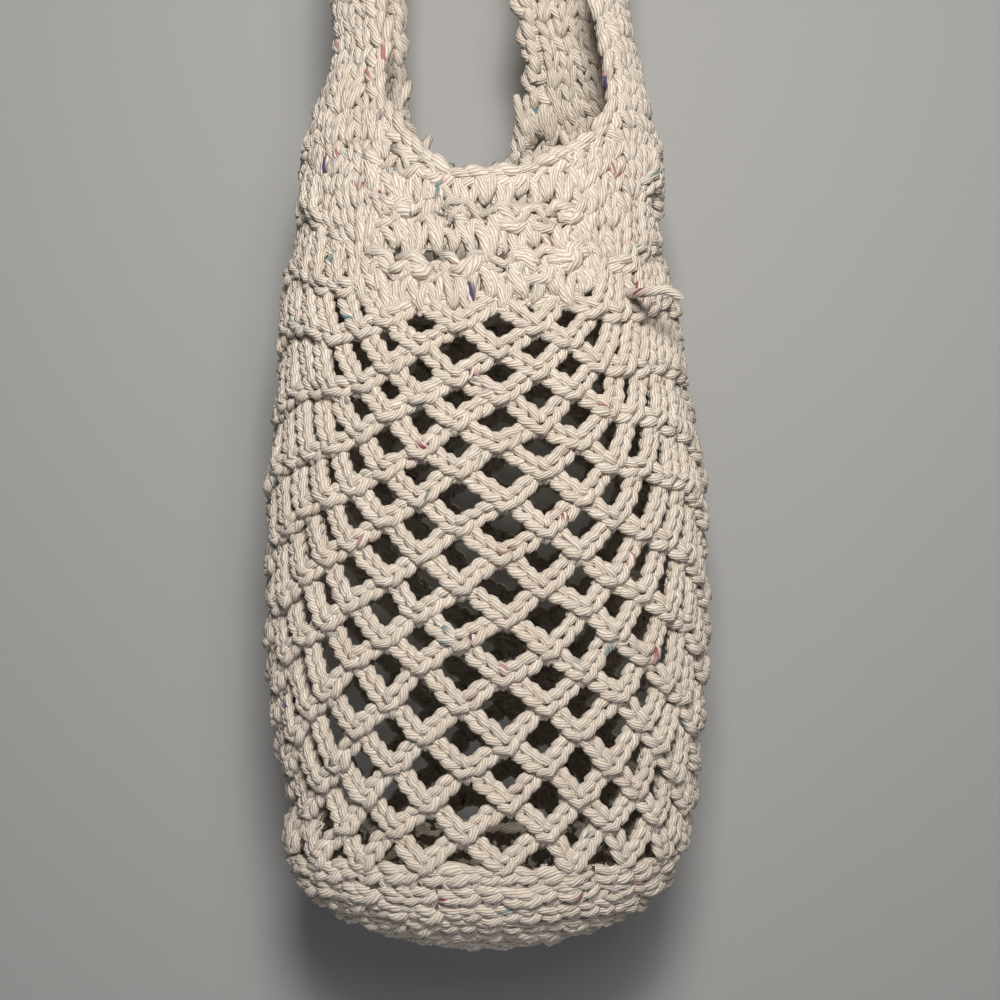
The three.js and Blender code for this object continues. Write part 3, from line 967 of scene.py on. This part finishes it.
def add_plies(tree, yarn):
    """How high a ridge stands at a point, and the number of the ply there."""
    stray = noise_on_yarn(
        tree, ((yarn["along"], 160.0), (yarn["strand"], 83.0), (yarn["around_cos"], 1.3)), 1.0)
    turn = add_node(tree, MATH, {"operation": "ARCTAN2"}, {0: yarn["around_sin"], 1: yarn["around_cos"]})
    wound_round = add_node(tree, MATH, TIMES, {0: turn, 1: PLIES / (2 * math.pi)})
    wound_along = add_node(tree, MATH, TIMES, {0: yarn["along"], 1: PLIES / TWIST_LENGTH})
    helix = add_node(tree, MATH, PLUS, {0: wound_round, 1: wound_along})
    strayed = add_node(tree, MATH, TIMES, {0: stray, 1: PLY_STRAY})
    wound = add_node(tree, MATH, PLUS, {0: helix, 1: strayed})
    ridge = wound
    for operation, number in (("MULTIPLY", math.pi), ("SINE", 0.0), ("ABSOLUTE", 0.0), ("POWER", 0.7)):
        ridge = add_node(tree, MATH, {"operation": operation}, {0: ridge, 1: number})
    whole = add_node(tree, MATH, FLOOR, {0: wound})
    ply = add_node(tree, MATH, {"operation": "FLOORED_MODULO"}, {0: whole, 1: PLIES})
    return ridge, ply


print("plies", PLIES, "and one turn in", round(TWIST_LENGTH / MM), "mm")

# %% [markdown]
# ## Flecks
# A dyed fibre stays in one ply. So a fleck is a noise along each ply that passes its threshold in a few
# short stretches, and a slower noise decides where the yarn has any. The dye changes every few centimetres,
# except where a large fleck is listed.

# %% Flecks
DYES = ((0, "#94414D"), (0.2, "#B57F7F"), (0.4, "#5C5070"), (0.6, "#84968C"), (0.8, "#6F8F96"))
DYE_CHANGES = 12.0


def add_flecks(tree, yarn, ply):
    """How much dye there is at a point, and its colour."""
    streak = noise_on_yarn(tree, ((yarn["along"], 95.0), (ply, 7.3), (yarn["strand"], 57.0)), 1.0)
    region = noise_on_yarn(tree, ((yarn["along"], 22.0), (yarn["strand"], 31.0)), 0.0)
    cuts = []
    for noise, threshold, steepness in ((streak, 0.56, 12.0), (region, 0.66, 14.0), (streak, 0.5, 9.0)):
        above = add_node(tree, MATH, MINUS, {0: noise, 1: threshold})
        cuts.append(add_node(tree, MATH, TIMES | CLAMPED, {0: above, 1: steepness}))
    scattered = add_node(tree, MATH, TIMES, {0: cuts[0], 1: cuts[1]})
    charted = add_node(tree, MATH, TIMES, {0: yarn["slub"], 1: cuts[2]})
    fleck = add_node(tree, MATH, {"operation": "MAXIMUM"}, {0: scattered, 1: charted})
    stretches = add_node(tree, MATH, TIMES, {0: yarn["place"], 1: DYE_CHANGES})
    stretch = add_node(tree, MATH, FLOOR, {0: stretches})
    random_hue = add_node(tree, "ShaderNodeTexWhiteNoise", {"noise_dimensions": "1D"}, {"W": stretch})
    from_middle = add_node(tree, MATH, MINUS, {0: yarn["slub_hue"], 1: 0.5})
    charted_hue = add_node(tree, MATH, TIMES, {0: from_middle, 1: 1 / len(DYES)})
    is_charted = add_node(tree, MATH, {"operation": "GREATER_THAN"}, {0: yarn["slub"], 1: 0.05})
    hue = add_node(tree, "ShaderNodeMix", {"data_type": "FLOAT"}, {
        "Factor": is_charted, 2: random_hue, 3: charted_hue}).outputs[0]
    dyes = add_node(tree, "ShaderNodeValToRGB", inputs={"Fac": hue})
    ramp = dyes.color_ramp
    ramp.interpolation = "CONSTANT"
    for start, dye in DYES:
        stop = ramp.elements[0] if start == 0 else ramp.elements.new(start)
        stop.color = colour(dye)
    ramp.elements[-1].color = colour(DYES[-1][1])
    return fleck, dyes.outputs["Color"]


print("dyes", [dye for start, dye in DYES])

# %% [markdown]
# ## Cotton
# Fine fibres lie along the yarn, as streaks 0.3 mm wide and 2.5 mm long. The grooves between plies and the
# low parts of the fibre streaks are painted darker, as painted shade.
# Each ply is a little warmer here and there, as unbleached cotton is. Ridges and fibres are also a
# shallow bump, because real ones are too fine to model.

# %% Cotton yarn
FIBRE_REPEATS = 400.0
TONE_CHANGES = 40.0
SECOND_TONE = "#D6CBBE"


def make_yarn_material(name, hexa, groove_shade_hexa):
    material = bpy.data.materials.new(name)
    material.use_nodes = True
    tree = material.node_tree
    tree.nodes.clear()
    yarn = {
        name: add_node(tree, "ShaderNodeAttribute", {"attribute_name": name}).outputs["Fac"]
        for name in YARN_NUMBERS}
    yarn["place"] = add_node(tree, MATH, PLUS, {0: yarn["along"], 1: yarn["strand"]})
    ridge, ply = add_plies(tree, yarn)
    fleck, dye = add_flecks(tree, yarn, ply)
    far = add_node(tree, MATH, TIMES, {0: yarn["along"], 1: FIBRE_REPEATS})
    apart = add_node(tree, MATH, TIMES, {0: yarn["strand"], 1: 91.0})
    fibre_place = add_node(tree, MATH, PLUS, {0: far, 1: apart})
    fibres = noise_on_yarn(
        tree, ((yarn["around_cos"], 5.0), (yarn["around_sin"], 5.0), (fibre_place, 1.0)), 3.0, 0.65)
    stretches = add_node(tree, MATH, TIMES, {0: yarn["place"], 1: TONE_CHANGES})
    stretch = add_node(tree, MATH, FLOOR, {0: stretches})
    tone_place = add_node(tree, "ShaderNodeCombineXYZ", inputs={"X": ply, "Y": stretch})
    ply_tone = add_node(tree, "ShaderNodeTexWhiteNoise", {"noise_dimensions": "2D"}, {"Vector": tone_place})
    soft_tone = add_node(tree, "ShaderNodeTexNoise", inputs={
        "Vector": add_node(tree, "ShaderNodeTexCoord").outputs["Object"], "Scale": 45.0, "Detail": 2.0})
    tones = add_node(tree, MATH, PLUS, {0: soft_tone, 1: ply_tone})
    fair = add_node(tree, "ShaderNodeMix", {"data_type": "RGBA"}, {
        "Factor": add_node(tree, MATH, TIMES | CLAMPED, {0: tones, 1: 0.55}),
        6: colour(hexa), 7: colour(SECOND_TONE)}).outputs[2]
    # painted shade: the grooves between plies and the low parts of the fibre streaks take the darker groove
    # colour
    lit_ridge = add_node(tree, MATH, TIMES, {0: ridge, 1: 0.6})
    lit_fibres = add_node(tree, MATH, TIMES, {0: fibres, 1: 0.72})
    groove_shaded = add_node(tree, "ShaderNodeMix", {"data_type": "RGBA"}, {
        "Factor": add_node(tree, MATH, PLUS | CLAMPED, {0: lit_ridge, 1: lit_fibres}),
        6: colour(groove_shade_hexa), 7: fair}).outputs[2]
    dyed = add_node(tree, "ShaderNodeMix", {"data_type": "RGBA"}, {"Factor": fleck, 6: groove_shaded, 7: dye})
    low_fibres = add_node(tree, MATH, TIMES, {0: fibres, 1: 0.5})
    bump = add_node(tree, "ShaderNodeBump", inputs={
        "Height": add_node(tree, MATH, PLUS, {0: ridge, 1: low_fibres}), "Distance": 0.4 * MM,
        "Strength": 0.8})
    shader = add_node(tree, "ShaderNodeBsdfPrincipled", inputs={
        "Base Color": dyed.outputs[2], "Normal": bump, "Roughness": 0.92, "IOR": 1.53,
        "Specular IOR Level": 0.25, "Sheen Weight": 0.25, "Sheen Roughness": 0.5})
    add_node(tree, "ShaderNodeOutputMaterial", inputs={"Surface": shader})
    return material


# B4A592 is the painted shade of the grooves between plies
cotton = make_yarn_material("undyed_cotton_yarn", "#EDE6DC", "#B4A592")
print("nodes in the yarn's material", len(cotton.node_tree.nodes))


# %% [markdown]
# ## Make the pieces
# The net is cut into quarters, so that each piece stays light enough to handle. A piece starts as lines of
# edges with the numbers that travel with the yarn. The evaluated result of the tree is copied into a plain
# mesh, and the modifier goes. A yarn of six or seven sides is round enough at this size.

# %% Make the pieces
def make_paths_object(name, paths, closed):
    swell = np.concatenate(paths)[:, 3]
    points = np.concatenate(paths)[:, :3]
    edges = []
    along = []
    strand = []
    start = 0
    for path in paths:
        count = len(path)
        edges.append(np.stack([np.arange(start, start + count - 1), np.arange(start + 1, start + count)], 1))
        if closed:
            edges.append(np.array([[start + count - 1, start]]))
        lengths = np.r_[0, np.cumsum(np.linalg.norm(np.diff(path[:, :3], axis=0), axis=1))]
        along.append(lengths)
        strand.append(np.full(count, random.random()))
        start += count
    edges = np.concatenate(edges)
    mesh = bpy.data.meshes.new(name)
    mesh.vertices.add(len(points))
    mesh.vertices.foreach_set("co", points.astype(np.float32).ravel())
    mesh.edges.add(len(edges))
    mesh.edges.foreach_set("vertices", edges.astype(np.int32).ravel())
    slub = np.zeros(len(points))
    slub_hue = np.zeros(len(points))
    photo = to_photo(points)
    for x, y, radius, hue in SLUBS:
        near = np.hypot(photo[:, 0] - x, photo[:, 1] - y)
        face = (near < radius) & (points[:, 1] < 0)
        slub[face] = 1
        slub_hue[face] = hue
    for attribute, values in (
            ("along", np.concatenate(along)), ("strand", np.concatenate(strand)),
            ("slub", slub), ("slub_hue", slub_hue), ("swell", swell)):
        layer = mesh.attributes.new(attribute, "FLOAT", "POINT")
        layer.data.foreach_set("value", values.astype(np.float32))
    mesh.update()
    made = bpy.data.objects.new(name, mesh)
    bpy.context.scene.collection.objects.link(made)
    return made



MANY_SIDES = 7
FEWER_SIDES = 6
KNOT_SIDES = 5
KNOT_RADIUS = 1.5 * MM


def sweep(name, paths, radius=YARN_RADIUS, sides=FEWER_SIDES, closed=False):
    made = make_paths_object(name, paths, closed)
    modifier = made.modifiers.new("yarn", "NODES")
    modifier.node_group = yarn_tree
    sockets = {
        item.name: item.identifier for item in yarn_tree.interface.items_tree if item.in_out == "INPUT"}
    modifier[sockets["Yarn radius"]] = radius
    modifier[sockets["Sides"]] = sides
    modifier[sockets["Yarn"]] = cotton
    graph = bpy.context.evaluated_depsgraph_get()
    mesh = bpy.data.meshes.new_from_object(
        made.evaluated_get(graph), preserve_all_data_layers=True, depsgraph=graph)
    made.modifiers.clear()
    made.data = mesh
    mesh.name = name
    mesh.shade_smooth()
    triangles = sum(len(face.vertices) - 2 for face in mesh.polygons)
    print(name, "triangles", triangles)
    return made


def finish_piece(piece, node):
    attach(piece, "root")
    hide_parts(node)


for name, loops in net_loops.items():
    sides = MANY_SIDES if name == "net_front" else FEWER_SIDES
    finish_piece(sweep(name, loops, sides=sides), "net")
for name, rings in knots.items():
    finish_piece(sweep(name, rings, KNOT_RADIUS, KNOT_SIDES, closed=True), "net")
for name, paths, sides, node in (
        ("yarn_tail", [tail], MANY_SIDES, "net"), ("base_rounds", base_rows, FEWER_SIDES, "base"),
        ("base_inside", base_inner_rows, FEWER_SIDES, "base"),
        ("collar_rows", collar_rows, MANY_SIDES, "collar"),
        ("collar_inside", collar_inner_rows, FEWER_SIDES, "collar"),
        ("collar_edging", edging, MANY_SIDES, "collar")):
    finish_piece(sweep(name, paths, sides=sides), node)
for name, rows in strap_rows.items():
    finish_piece(sweep(name, rows), "strap")

# %% [markdown]
# ## A dark inside
# On the real bag the far side of the net lies in deep shade, so each opening reads as a dark diamond. The
# two front lamps leave out what is deep inside, and the lamp behind still lights it for the other views.

# %% The front lamps leave out the far inside of the bag
DEEP_INSIDE = ("net_back", "knots_back", "base_inside")
lit_from_front = bpy.data.collections.new("lit_from_front")
for thing in bpy.data.objects:
    if thing.type == "MESH" and thing.name not in DEEP_INSIDE:
        lit_from_front.objects.link(thing)
key_lamp.light_linking.receiver_collection = lit_from_front
soft_lamp.light_linking.receiver_collection = lit_from_front
